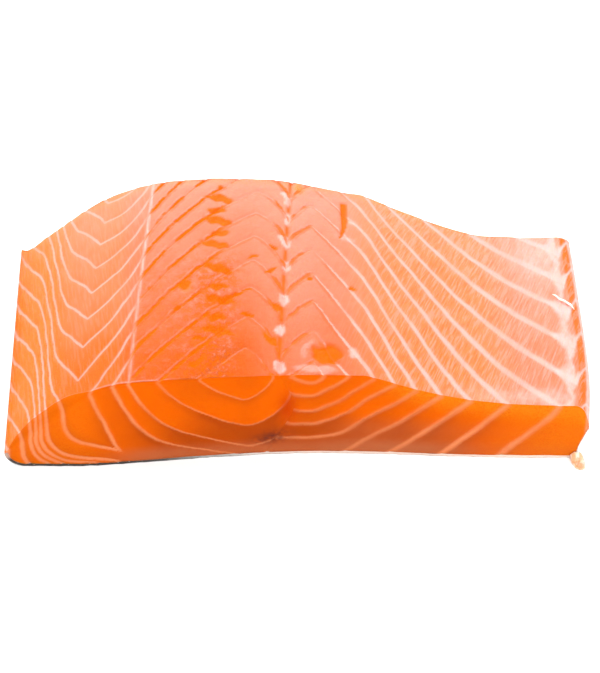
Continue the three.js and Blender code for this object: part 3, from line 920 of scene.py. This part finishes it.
@dataclass
class Flesh:
    """The muscle: one closed body, a ring of points round each of many cross-sections.

    Each ring goes up the front cut, over the top to the rear cut, down it and back underneath, with
    the two knife edges rounded. Relief is then laid along the normals: gaps and swells of the
    flakes, the septum, pin bone pits, a slit and small tears.
    """

    shape: FishShape
    edge_radius: float = 0.9
    back_radius: float = 4.6
    first_x: float = -83.34
    column_counts: tuple[int, int, int] = (12, 308, 20)
    face_points: int = 44
    corner_points: int = 6
    top_points: int = 160
    under_points: int = 10
    groove: float = 0.32
    pillow: float = 0.28
    shingle: float = 0.22
    bone_x: float = -22.2
    long_pits: tuple[float, ...] = (33, 22.4, 11.5, 1.2, -11.3, -23.3)
    short_pits: tuple[float, ...] = (27, 16.5, -6.5, -18.3)
    long_pit: tuple[float, float, float] = (3.7, 1.35, -0.32)
    short_pit: tuple[float, float, float] = (2.3, 1.2, 0.1)
    pit_depth: float = 0.5
    nick_depth: float = 0.3
    slit_depth: float = 0.5
    hollow_depth: float = 0.8
    slit_x: float = 15.6
    slit_ends: tuple[float, float] = (17.0, 37.5)
    membrane_start: float = 71.0
    membrane_end: float = 78.0
    flank_turn: tuple[float, float] = (79.6, 80.6)
    nicks: tuple[Mark, ...] = (
        Mark(-6.8, 0.7, 1.9, 0.55, 0.75), Mark(-13.5, -7.4, 1.3, 0.5), Mark(-13.3, -17.0, 1.7, 0.6, -0.1),
        Mark(-5.6, -14.0, 2.0, 0.8, -1.0), Mark(-7.8, -26.5, 2.6, 1.1, -0.9),
        Mark(-27.6, -35.2, 2.2, 0.9, 0.5), Mark(-27.8, -26.0, 1.8, 0.8, 0.2),
        Mark(-31.0, -5.0, 1.9, 1.4, 0.8), Mark(-5.0, 11.2, 1.4, 0.6, -0.6), Mark(5.2, -1.8, 0.9, 0.5, 0.6),
        Mark(17.5, -4.8, 1.5, 0.45, -0.7), Mark(-21.5, 38.5, 1.0, 0.7, 1.2),
        Mark(-17.5, -9.5, 2.2, 0.8, 0.5), Mark(-34.0, -14.5, 1.8, 0.6, 0.8),
        Mark(-12.0, 6.5, 1.6, 0.5, 0.6),
    )
    beads: tuple[Mark, ...] = (
        Mark(-1.3, 33.5, 1.3, 3.2, 0.1), Mark(-1.2, 24.0, 1.2, 2.8, -0.1), Mark(-2.0, 13.0, 1.5, 2.6, 0.2),
        Mark(-2.2, 2.4, 1.3, 2.4, -0.3), Mark(-3.0, -11.0, 1.3, 2.6, 0.2), Mark(-4.2, -22.5, 1.3, 2.4),
        Mark(-4.6, -36.0, 1.4, 2.6, 0.35),
    )
    hollow: Mark = Mark(9.0, -31.5, 5.2, 4.4, -0.5)
    flap: Mark = Mark(5.5, -37.2, 7.0, 1.7, -0.12)
    flap_paint: Mark = Mark(5.5, -37.2, 7.0, 1.6, -0.12)
    froth: Mark = Mark(16.6, -31.5, 3.8, 2.3, -0.9)
    ridge: Mark = Mark(3.2, -29.5, 1.2, 4.4, -0.5)
    # Whitish patches of painted sheen near the belly edge, toward the rear and along the front cut.
    rear_sheen: Mark = Mark(73, 27, 6, 15)
    front_sheen: Mark = Mark(68, -39, 17, 3.4)
    slit_fat: tuple[Mark, ...] = (Mark(17.6, 27, 1.4, 1.0, -0.5), Mark(16, 18, 2.0, 1.0, -0.3))
    yellow_flecks: tuple[Mark, ...] = (Mark(-31.5, -5.2, 1.4, 2.6, 0.2), Mark(2.4, 39.6, 1.5, 2.4))
    # Painted shadow on the cut faces beside the septum, laid in the hollow colour.
    cut_shadow: Mark = Mark(-2.5, 20, 2.6, 6.0)
    blood_spot: Mark = Mark(-7, 7.5, 5.2, 2.6, 0.2)

    def columns(self) -> Array:
        """x of every cross-section, closer together at the back edge and round the flank.

        Returns:
            Array of x.
        """
        edge = self.shape.edge_x - self.shape.flank
        near, middle, round_flank = self.column_counts
        turn = np.sin(np.linspace(0, np.pi / 2, round_flank))
        return np.concatenate([
            np.linspace(self.first_x, -80, near, endpoint=False),
            np.linspace(-80, edge, middle, endpoint=False),
            edge + (self.shape.flank - 0.06) * turn,
        ])

    def rings(self) -> tuple[Array, Array, Array, Array]:
        """Smooth rings before any relief.

        Returns:
            x, y and z of shape (columns, ring) before the belly edge is swelled, and a mask of the
            ring that is 1 on the two cut faces and 0 on the top and the underside.
        """
        shape = self.shape
        x = self.columns()[:, None]
        front, back = shape.front_edge(x), shape.back_edge(x)
        low_front, low_back = (shape.under_height(x, t, shape.skin - 0.1) for t in (0.0, 1.0))
        high_front, high_back = shape.top_height(x, front), shape.top_height(x, back)
        r_back = np.minimum(self.edge_radius, 0.3 * (high_back - low_back))
        rounder = (self.back_radius - self.edge_radius) * ease(-56, -67, x)
        r = np.minimum(self.edge_radius + rounder, 0.3 * (high_front - low_front))
        v = np.linspace(0, 1, self.face_points)[None]
        a = np.linspace(0, np.pi / 2, self.corner_points + 2)[None, 1:-1]
        t = np.linspace(0, 1, self.top_points)[None]
        w = np.linspace(1, 0, self.under_points + 2)[None, 1:-1]
        top_y = front + r + (back - front - r - r_back) * t
        y = [front + 0 * v, front + r * (1 - np.cos(a)), top_y,
             back - r_back * (1 - np.sin(a)), back + 0 * v, front + (back - front) * w]
        z = [low_front + (high_front - r - low_front) * v,
             shape.top_height(x, y[1]) - r * (1 - np.sin(a)),
             shape.top_height(x, top_y),
             shape.top_height(x, y[3]) - r_back * (1 - np.cos(a)),
             high_back - r_back + (low_back - high_back + r_back) * v,
             shape.under_height(x, w, shape.skin - 0.1)]
        on_face = [1 + 0 * v, 0 * a + 1, 0 * t, 0 * a + 1, 1 + 0 * v, 0 * w]
        y, z = np.concatenate(y, axis=1), np.concatenate(z, axis=1)
        return np.broadcast_to(x, y.shape), y, z, np.concatenate(on_face, axis=1)[0]

    @staticmethod
    def normals(p: Array) -> Array:
        """Unit normals of the ring grid: cross product of its two tangents."""
        n = np.cross(np.gradient(p, axis=0), np.roll(p, -1, axis=1) - np.roll(p, 1, axis=1))
        return n / np.maximum(np.linalg.norm(n, axis=-1, keepdims=True), 1e-9)

    @staticmethod
    def pitch(p: Array, layer: Array) -> Array:
        """Millimetres of surface for each layer: one over the layer number's slope along the surface.

        Args:
            p: Points of the ring grid.
            layer: Layer number at each.

        Returns:
            The pitch at each.
        """
        a, b = np.gradient(p, axis=0), (np.roll(p, -1, 1) - np.roll(p, 1, 1)) / 2
        la, lb = np.gradient(layer, axis=0), (np.roll(layer, -1, 1) - np.roll(layer, 1, 1)) / 2
        aa, bb, ab = (a * a).sum(-1), (b * b).sum(-1), (a * b).sum(-1)
        det = np.maximum(aa * bb - ab * ab, 1e-9)
        slope = np.sqrt(np.maximum(bb * la * la + aa * lb * lb - 2 * ab * la * lb, 0) / det)
        return 1 / np.clip(slope, 1 / 18, 3)

    def relief(self, p: Array, at: Surface) -> Array:
        """Height of the relief in millimetres.

        Near a whole layer number there is a gap, each flake swells between two gaps, and its far
        edge stands a little higher than the next one's near edge. The septum is a groove.

        Args:
            p: Points after the belly edge is swelled.
            at: What is known at the points.

        Returns:
            Height along the normal.
        """
        s, side, f = at.s, at.side, at.layer - np.floor(at.layer)
        near = np.minimum(f, 1 - f)
        zone = 0.45 + 0.55 * ease(-50, -36, s) * (1 - ease(14, 30, s))
        loin = ease(-47, -38, s) * (1 - ease(10, 24, s))
        gap = -self.groove * zone * np.maximum(0, 1 - near / 0.11)
        swell = self.pillow * zone * (4 * f * (1 - f) - 0.5)
        step = self.shingle * loin * (f - 0.5) * ease(0, 0.08, f) * ease(1, 0.92, f)
        torn = cloudy(p, 2.2, 11) * 0.13 * loin + cloudy(p, 9.0, 5, 2) * 0.18
        seam = -0.9 * bump(side, 0, 0.7) * (0.35 + 0.65 * np.sin(np.pi * at.layer) ** 2)
        top = gap + swell + step + torn + seam - 0.3
        cut = (-0.16 * np.maximum(0, 1 - near / 0.09) + 0.16 * (f - 0.5)
               - 0.35 * bump(side, 0, 0.45) + 0.10 * cloudy(p, 6.0, 23)) - 0.2
        return at.both(top, cut)

    def marks(self, x: Array, y: Array) -> tuple[Array, Array]:
        """Pits and tears of the top.

        Args:
            x: Across the fish.
            y: Along the fish.

        Returns:
            Depth in millimetres, and how much of the wet inside shows, 0..1.
        """
        depth, shown = np.zeros(x.shape), np.zeros(x.shape)
        pits = [Mark(self.bone_x, y0, *self.long_pit) for y0 in self.long_pits]
        pits += [Mark(self.bone_x + 0.6, y0, *self.short_pit) for y0 in self.short_pits]
        jag = 0.42 * cloudy(np.stack([x, y, 0 * x], axis=-1), 2.4, 31, 2)
        for i, mark in enumerate([*pits, *self.nicks]):
            moved = replace(mark, x=mark.x + 0.7 * math.sin(mark.y * 0.4),
                            turn=mark.turn + 0.16 * math.sin(i * 3.1))
            pit = moved.bell(x, y + 0.35 * np.sin(1.6 * x + 2.3 * i) + jag)
            depth += (self.pit_depth if i < len(pits) else self.nick_depth) * pit
            shown += ease(0.1, 0.34, pit)
        first, last = self.slit_ends
        middle = self.slit_x - 1.6 * (np.maximum(28 - y, 0) / 10) ** 2
        half = 0.35 + 0.75 * ease(17.5, 28, y)
        slit = np.exp(-(((x - middle) / half) ** 4))
        slit = slit * ease(first, first + 1.5, y) * ease(last, last - 1.5, y)
        hollow = ease(0.35, 0.6, self.hollow.bell(x + 2 * jag, y - 2 * jag))
        flap = ease(0.3, 0.8, self.flap.bell(x - jag, y + jag))
        shown = shown + ease(0.2, 0.7, slit) + hollow
        depth = depth + self.slit_depth * slit + self.hollow_depth * hollow - 0.3 * flap
        return depth, np.clip(shown, 0, 1)

    def build(self, top: bpy.types.Material, cut: bpy.types.Material) -> bpy.types.Object:
        """Makes the piece.

        Args:
            top: Finish of the top and underside.
            cut: Finish of the two cut faces.

        Returns:
            The flesh, painted for its finishes.
        """
        shape = self.shape
        x, y, z, ring_face = self.rings()
        columns, ring = x.shape
        p = np.stack([shape.bulged(x, shape.along(x, y)), y, z], axis=-1)
        left, right, side = shape.layers(x, y, z)
        s, face = shape.unshear(x, y), np.broadcast_to(ring_face, x.shape)
        right = right - np.where(face < 0.5, 3.4 * np.maximum(s - 79, 0) / shape.spacing(s), 0)
        normal = self.normals(p)
        over = (normal[..., 2] > 0.15) & (face < 0.5)
        depth, shown = self.marks(x, y)
        at = Surface(np.stack([x, y, z], axis=-1), s, left, right, side, face, over, shown)
        height = self.relief(p, at) - np.where(over, depth, 0)
        height = np.where(np.arange(ring)[None] >= ring - self.under_points, 0, height)
        fade = ease(0, 0.8, x - self.first_x) * ease(0, 0.3, shape.edge_x - x)
        points = p + normal * (height * fade)[..., None] + shape.centre
        piece = make_piece("salmon_flesh", *capped(points), top, cut)
        cells = np.broadcast_to((ring_face + np.roll(ring_face, -1) > 1.5)[None], (columns - 1, ring))
        index = np.concatenate([cells.ravel(), np.zeros(2 * ring, bool)]).astype(np.int32)
        piece.data.polygons.foreach_set("material_index", index)
        for name, values in {**self.layer_paint(at), **self.stain_paint(at), **self.tint_paint(at)}.items():
            paint(piece, name, *[np.append(np.broadcast_to(v, x.shape), [0.0, 0.0]) for v in values])
        return piece

    def layer_paint(self, at: Surface) -> dict[str, tuple[Array, ...]]:
        """Layer number, its pitch and the width of its fat, for the back half and the belly half.

        Args:
            at: What is known at the points.

        Returns:
            Values by the name of the attribute.
        """
        x, s = at.p[..., 0], at.s
        back = 0.76 - 0.34 * ease(-46, -40, s)
        belly = (0.5 + 0.8 * ease(8, 24, s) + 0.8 * ease(24, 66, s)) * (1 - 0.6 * ease(79.3, 80.8, s))
        return {
            "left": (at.left, self.pitch(at.p, at.left), at.both(back, 0.95 - 0.35 * ease(-45, -30, x))),
            "right": (at.right, self.pitch(at.p, at.right), at.both(belly, 1.15 + 0.5 * ease(10, 60, x))),
        }

    def stain_paint(self, at: Surface) -> dict[str, tuple[Array, ...]]:
        """Where flakes are torn or gape, and where white fat and membrane, wet hollows and blood lie.
        The white also holds painted sheen and a painted highlight; on the cut faces the hollow is a painted
        shadow.

        The membrane of the belly edge reaches further in at each sheet of fat than between two.

        Args:
            at: What is known at the points.

        Returns:
            Values by the name of the attribute.
        """
        x, y, z = np.moveaxis(at.p, -1, 0)
        s, side, over = at.s, at.side, at.over
        jag = 0.5 * cloudy(at.p * (1, 1, 0), 3.0, 31, 3)
        flake = np.sqrt(np.maximum(1 - 4 * np.abs(at.layer % 1.0 - 0.5) ** 2, 0))
        end = ease(1, 0, x + 0.8 * jag - self.membrane_end - 3.2 * (1 - flake))
        membrane = ease(0, 2.0, x - self.membrane_start - 5.0 * flake + 0.9 * jag) * end
        # painted sheen: whitish patches, laid in the white of the top
        sheen = 0.62 * self.rear_sheen.bell(x, y + 3 * jag) + 0.6 * self.front_sheen.bell(x, y + 2 * jag)
        beads = np.maximum.reduce([m.bell(x + 1.3 * jag, y - jag) for m in self.beads])
        seam_line = bump(s, -44.2, 0.4) * (0.55 + 0.45 * ease(-30, 20, y))
        # painted highlight: a pale line along part of the front knife edge
        edge_highlight = bump(y - self.shape.front_edge(x), 0.5, 0.5) * ease(-60, -56, x) * ease(-30, -42, x)
        on_top = np.maximum.reduce([
            0.8 * membrane, 0.85 * sheen * ease(79.6, 78.6, x), 0.82 * ease(0.22, 0.62, beads + 0.35 * jag),
            0.6 * ease(0.4, 0.8, self.froth.bell(x - 2 * jag, y + 2 * jag)),
            0.38 * ease(0.3, 0.65, self.flap_paint.bell(x - jag, y + jag)),
            0.25 * ease(0.35, 0.7, self.ridge.bell(x + jag, y - jag)),
            0.8 * seam_line, 0.7 * sum(m.bell(x, y) for m in self.slit_fat), 0.75 * edge_highlight,
        ])
        under = self.shape.under_height(x, self.shape.along(x, y), self.shape.skin)
        corner = np.maximum(ease(82.0, 82.9, x), ease(1.7, 0.7, z - under) * ease(*self.flank_turn, x))
        gap = bump(side, -0.3, 0.62 + 0.2 * jag) * ease(0.3, 0.1, beads)
        hollow = np.maximum(0.95 * at.shown, 0.9 * gap) * over
        crack = np.maximum.reduce([
            ease(-46, -43, s) * ease(-17, -24, s), 0.8 * ease(-8, -6, s) * ease(-1.5, -3, s),
            0.75 * ease(-2.4, -1, s) * ease(7, 4.5, s),
        ])
        return {
            "place": (side, at.loin, crack * over),
            "stain": (np.maximum(on_top * over, 0.8 * corner),
                      np.maximum(hollow, 0.8 * self.cut_shadow.bell(x, z) * at.face),
                      0.85 * self.blood_spot.bell(x, z) * at.face),
        }

    def tint_paint(self, at: Surface) -> dict[str, tuple[Array, ...]]:
        """How pale, deep and yellow the muscle is, partly its own tone and partly painted sheen, shade and
        light, and how strong its threads, fibres and wet tears.

        On the cut faces the painted shade goes by terraces: each flake is deeper toward its lower edge.

        Args:
            at: What is known at the points.

        Returns:
            Values by the name of the attribute.
        """
        x, y, z = np.moveaxis(at.p, -1, 0)
        s, loin, over = at.s, at.loin, at.over
        rear, flank = ease(8, 40, y), ease(*self.flank_turn, x)
        # pale: the paler belly and septum flesh, and painted sheen growing toward the rear cut
        pale = 0.02 + 0.5 * rear + 0.4 * ease(45, 76, x) + 0.25 * ease(-1, 2, at.side) * ease(-24, -6, y)
        pale = (pale + 0.45 * ease(37, 43, y)) * (1 - 0.5 * ease(-60, -76, x))
        pale = pale + 0.15 * ease(-16, -6, x) * ease(10, 4, x) + 0.22 * ease(-16, 16, y) * loin
        # deep: painted shade toward the top's front cut; also deeper at the back edge and on the flank
        # ovals
        deep = 0.12 + ease(-2, -38, y) * (0.55 * ease(2, -6, x) + 0.25 * ease(36, 10, x))
        deep = deep + 0.3 * ease(-60, -76, x) + 0.45 * ease(-64, -74, x)
        deep = deep + 0.1 * ease(12, -2, y) * ease(-5, -14, x)
        deep = deep + 0.9 * ease(-34, -42, y) * ease(-48, -58, x) + 1.3 * flank
        # cut faces: painted shade in terraces, deeper lower down, and painted shadow under each flake's top
        share = at.layer - np.floor(at.layer)
        level = z + 0.75 * np.minimum(self.pitch(at.p, at.layer), 9) * (share - 0.5)
        middle = 0.2 + 0.8 * ease(-52, -28, x) * ease(62, 20, x)
        cut_terrace_shade = 0.1 + ease(21, 8, level) * middle * ease(70, 45, x)
        cut_terrace_shade = cut_terrace_shade + 0.3 * ease(0.35, 0, share) * ease(31, 26, z) * ease(75, 60, x)
        # cut faces: pinker and darker low down, partly the fat strip above the skin, partly painted shade
        cut_low_shade_and_fat = 0.72 * ease(8, 2.5, z) * ease(-60, -42, x) + 0.3 * ease(0, 20, x) * ease(18, 10, z)
        cut_low_shade_and_fat = cut_low_shade_and_fat * (1 - 0.75 * ease(34, 58, x))
        thread = 1 - 0.5 * ease(-22, -17, s) * ease(0, -3, s) - 0.25 * loin
        thread = thread * (0.72 + 0.28 * ease(-46, 20, s))
        cut_thread = 0.55 + 0.45 * ease(-38, -50, x) + 0.2 * ease(18, 6, z) + 0.35 * ease(20, 50, x)
        golden = 0.3 * ease(-62, -74, x) + 0.2 * ease(-46, -52, x) + 0.3 * ease(79.6, 80.8, x)
        golden = golden + 0.44 * ease(12, 30, x) * (1 - 0.85 * ease(52, 68, x)) + 0.4 * ease(38, 44, y)
        yellow = (golden + 0.9 * sum(m.bell(x, y) for m in self.yellow_flecks)) * over
        # cut faces: painted light, a brighter orange near the top edge and toward both ends
        cut_painted_light = ease(9, 0, self.shape.top_height(x, y) - z) * ease(16, 36, x)
        cut_painted_light = cut_painted_light + 0.5 * ease(50, 80, x) + 0.3 * ease(-50, -64, x)
        wet = loin * ease(-10, -20, s) * ease(14, -4, y) * over * (0.3 + 0.7 * bump(x, -22, 9))
        strands = 0.3 + 0.7 * ease(20, 30, s) - 0.25 * loin
        return {
            "tint": (at.both(pale * (1 - flank), cut_low_shade_and_fat), at.both(deep, cut_terrace_shade),
                     at.both(thread, cut_thread)),
            "tone": (at.both(yellow, cut_painted_light), at.both(strands, 0.15), at.both(wet, 0)),
        }


@dataclass
class Skin:
    """The skin: a thin sheet under the flesh that turns up round the back edge."""

    shape: FishShape
    turn_points: int = 26
    path_points: int = 150
    length_points: int = 110
    rise_start: float = 79.4
    raggedness: float = 0.25

    def path(self) -> tuple[Array, Array, Array, Array]:
        """Outer line of the skin in a cross-section.

        A quarter ellipse from the top of the turned-up lip, a level run, and a short rise at the
        belly edge.

        Returns:
            x, share of the lip's height, and the two parts of the inward normal.
        """
        wrap, edge = self.shape.wrap, self.shape.edge_x
        a = np.linspace(0, np.pi / 2, self.turn_points)
        turn = (-edge + wrap * (1 - np.cos(a)), 1 - np.sin(a), np.cos(a), np.sin(a))
        x = np.linspace(wrap - edge, self.rise_start, self.path_points)[1:]
        level = (x, 0 * x, 0 * x, 1 + 0 * x)
        u = np.linspace(0, 1, 6)[1:]
        rise = (self.rise_start + 1.8 * u, 0.1 * u**2, -0.3 * u, 1 - 0.05 * u)
        return tuple(np.concatenate(parts) for parts in zip(turn, level, rise))

    def build(self, finish: bpy.types.Material) -> bpy.types.Object:
        """Makes the piece and paints where it lies across the fish, and its cut edge.

        Args:
            finish: Its material.

        Returns:
            The skin.
        """
        shape = self.shape
        x, share, nx, nz = (v[:, None] for v in self.path())
        t = np.linspace(0, 1, self.length_points)[None]
        rows = np.stack(np.broadcast_arrays(x, 0 * t, t * 40), -1)
        ragged = self.raggedness * np.abs(lattice_noise(rows, (3.5, 3.5, 3.5), 71))
        front, back = shape.front_edge(x), shape.back_edge(x)

        def sheet(depth: float) -> Array:
            """The grid of the skin at a depth from its outer face.

            Args:
                depth: Distance from the outer face of the skin.

            Returns:
                Points of shape (path, length, 3).
            """
            near_cut = ease(0.03, 0.0, t) - ease(0.97, 1.0, t)
            y = front + (back - front) * t + near_cut * ragged
            across = shape.bulged(x + nx * depth, t)
            grid = np.broadcast_arrays(across, y, share * shape.lip(t) + nz * depth)
            return np.stack(grid, -1) + shape.centre

        inner, outer = sheet(shape.skin), sheet(0.0)
        outer[..., 2] = np.maximum(outer[..., 2], 0)
        piece = make_piece("salmon_skin", *slab(inner, outer), finish)
        rim = np.maximum(ease(0.012, 0.0, t), ease(0.988, 1.0, t)) * ease(-30, 10, x)
        rim = np.maximum(rim, 0.7 * ease(0.35, 0.7, share) * ease(0.5, 0.1, t))
        values = np.broadcast_arrays(x + 0 * t, 0 * t, 0.7 * rim)
        paint(piece, "skin", *[np.concatenate([v, v]) for v in values])
        return piece


@dataclass
class SkinTag:
    """A tongue of skin and membrane that sticks out at the belly end of the front cut."""

    shape: FishShape
    middle_x: float = 81.2
    half_width: float = 2.2
    tip_height: float = 0.5
    swell: float = 2.4
    lumps: float = 0.3

    def build(self, finish: bpy.types.Material) -> bpy.types.Object:
        """Makes the piece.

        Along y it runs from its tip to the flesh. Its width grows with the square root of the way in
        and its height with the square, and it is lower toward its sides by their cube.

        Args:
            finish: Its material.

        Returns:
            The tag.
        """
        shape = self.shape
        reach = shape.tag_reach
        v, u = np.meshgrid(np.linspace(0, 1, 40), np.linspace(-1, 1, 17), indexing="ij")
        y = shape.front_y - reach + (reach - 0.1) * v
        half = self.half_width * np.sqrt(0.3 + 0.7 * v) - 0.4 * ease(0.6, 1, v)
        half = half * np.sqrt(1 - 0.85 * ease(0.22, 0.0, v) ** 2)
        x = self.middle_x - 0.6 * v + 0.5 * (1 - v) + half * u
        x = np.minimum(x, shape.edge_x - 0.2 + 0.1 * u)
        base = np.stack([x, y, 0 * x], -1)
        height = (self.tip_height + self.swell * v**2) * (1 - 0.5 * np.abs(u) ** 3)
        height = height + self.lumps * cloudy(base, 1.3, 41)
        upper, lower = (np.stack([x, y, z], -1) + shape.centre for z in (height, 0.02 + 0 * height))
        return make_piece("skin_tag", *slab(upper, lower), finish)


@dataclass
class Shred:
    """A loose thread of white membrane on the edge of the flank."""

    shape: FishShape
    start: tuple[float, float] = (75.4, 7.2)
    end: tuple[float, float] = (80.9, 1.0)
    radius: float = 0.33

    def build(self, finish: bpy.types.Material) -> bpy.types.Object:
        """Makes the piece: a flat tube of 12 sides carried along a wavy line over the surface.

        Args:
            finish: Its material.

        Returns:
            The thread.
        """
        t = np.linspace(0, 1, 60)[:, None]
        a = np.linspace(0, 2 * np.pi, 12, endpoint=False)[None]
        x0 = self.start[0] + (self.end[0] - self.start[0]) * t
        y0 = self.start[1] + (self.end[1] - self.start[1]) * t + 0.45 * np.sin(t * np.pi)
        wave = 0.1 * np.sin(t * 11)
        girth = self.radius * (1 - 0.75 * np.abs(2 * t - 1) ** 4) * (1 + 0.12 * np.sin(t * 19))
        x = x0 + (0.76 * np.cos(a)) * girth + 0.5 * wave
        y = y0 + (0.65 * np.cos(a)) * girth + wave
        lift = 0.25 + 0.5 * ease(0.25, 0.0, t) + 0.25 * np.sin(t * 9) ** 2
        z = self.shape.top_height(x0, y0) + lift + 0.7 * np.sin(a) * girth
        x = self.shape.bulged(x, self.shape.along(x, y))
        p = np.stack(np.broadcast_arrays(x, y, z), -1) + self.shape.centre
        return make_piece("membrane_shred", *capped(p), finish)


# ---- studio ----
@dataclass
class Studio:
    """Pale floor, soft light and the camera."""

    shape: FishShape
    elevation: float = 47.0
    azimuth: float = -1.2
    focal_px: float = 2857.0
    distance: float = 847.0
    target: tuple[float, float, float] = (1.8, -1.2, 7.9)
    world_strength: float = 1.35
    lamps: tuple[tuple[str, tuple[float, float, float], float, float], ...] = (
        ("key_softbox", (-0.3, 0.9, 0.75), 0.6, 15.0),
        ("fill_softbox", (0.3, -1.0, 0.7), 0.9, 9.5),
    )
    floor_size: float = 3000.0
    floor_drop: float = 0.02

    def floor(self) -> bpy.types.Object:
        """A plain pale sheet under the fillet.

        Returns:
            The floor.
        """
        g = Graph("studio_paper")
        colour = g.blend(g.noise(g.place(), 0.05), (0.93, 0.93, 0.93), (0.95, 0.95, 0.95))
        paper = g.finish(Base_Color=colour, Roughness=0.9, Specular_IOR_Level=0.1)
        u = np.linspace(-self.floor_size / 2, self.floor_size / 2, 9)
        x, y = np.meshgrid(u, u, indexing="ij")
        points = np.stack([x, y, 0 * x - self.floor_drop], -1).reshape(-1, 3)
        return make_piece("studio_floor", points, grid_faces(9, 9), paper, closed=False)

    def light(self) -> None:
        """White surroundings and two soft boxes aimed at the fillet."""
        world = bpy.data.worlds.new("studio_surround")
        bpy.context.scene.world = world
        world.use_nodes = True
        background = world.node_tree.nodes["Background"]
        background.inputs["Color"].default_value = (1.0, 1.0, 1.0, 1.0)
        background.inputs["Strength"].default_value = self.world_strength
        for name, place, size, power in self.lamps:
            lamp = bpy.data.lights.new(name, "AREA")
            lamp.shape, lamp.size, lamp.energy = "SQUARE", size, power
            box = bpy.data.objects.new(name, lamp)
            box.location = place
            box.rotation_euler = Vector(place).to_track_quat("Z", "Y").to_euler()
            bpy.context.collection.objects.link(box)

    def camera(self) -> None:
        """A long lens that looks down on the fillet, level with its front cut."""
        a, e = math.radians(self.azimuth), math.radians(self.elevation)
        right = Vector((math.cos(a), math.sin(a), 0))
        back = Vector((math.sin(a) * math.cos(e), -math.cos(a) * math.cos(e), math.sin(e)))
        up = back.cross(right)
        target = Vector(self.target) + Vector(self.shape.centre)
        place = (target + back * self.distance) * MM
        data = bpy.data.cameras.new("camera")
        data.sensor_width = 36.0
        data.lens = self.focal_px / IMAGE_HEIGHT * data.sensor_width
        data.clip_start, data.clip_end = 0.05, 10.0
        camera = bpy.data.objects.new("camera", data)
        camera.matrix_world = Matrix((
            (right.x, up.x, back.x, place.x), (right.y, up.y, back.y, place.y),
            (right.z, up.z, back.z, place.z), (0, 0, 0, 1)))
        bpy.context.collection.objects.link(camera)
        bpy.context.scene.camera = camera

    def build(self) -> bpy.types.Object:
        """Sets up the camera, the light, the colour settings and the floor.

        Returns:
            The floor.
        """
        self.camera()
        self.light()
        bpy.context.scene.view_settings.view_transform = "Standard"
        return self.floor()


def main() -> None:
    """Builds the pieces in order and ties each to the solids."""
    shape = FishShape()
    floor = Studio(shape).build()

    flesh = Flesh(shape).build(TOP_FINISH.make(), CUT_FINISH.make())
    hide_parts("flesh")
    shred = Shred(shape).build(
        MembraneFinish("white_membrane", (0.93, 0.82, 0.72), (0.9, 0.66, 0.5), 0.5).make())
    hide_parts("flesh")
    skin = Skin(shape).build(SkinFinish().make())
    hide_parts("skin")
    tag = SkinTag(shape).build(
        MembraneFinish("tag_membrane", (0.84, 0.66, 0.56), (0.72, 0.34, 0.16), 0.8).make())
    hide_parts("skin")
    for piece in (flesh, shred, skin, tag):
        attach(piece, "root")
        log.info("%s: %d faces", piece.name, len(piece.data.polygons))


if __name__ == "__main__":
    logging.basicConfig(level=logging.INFO, format="%(name)s %(message)s")
    main()
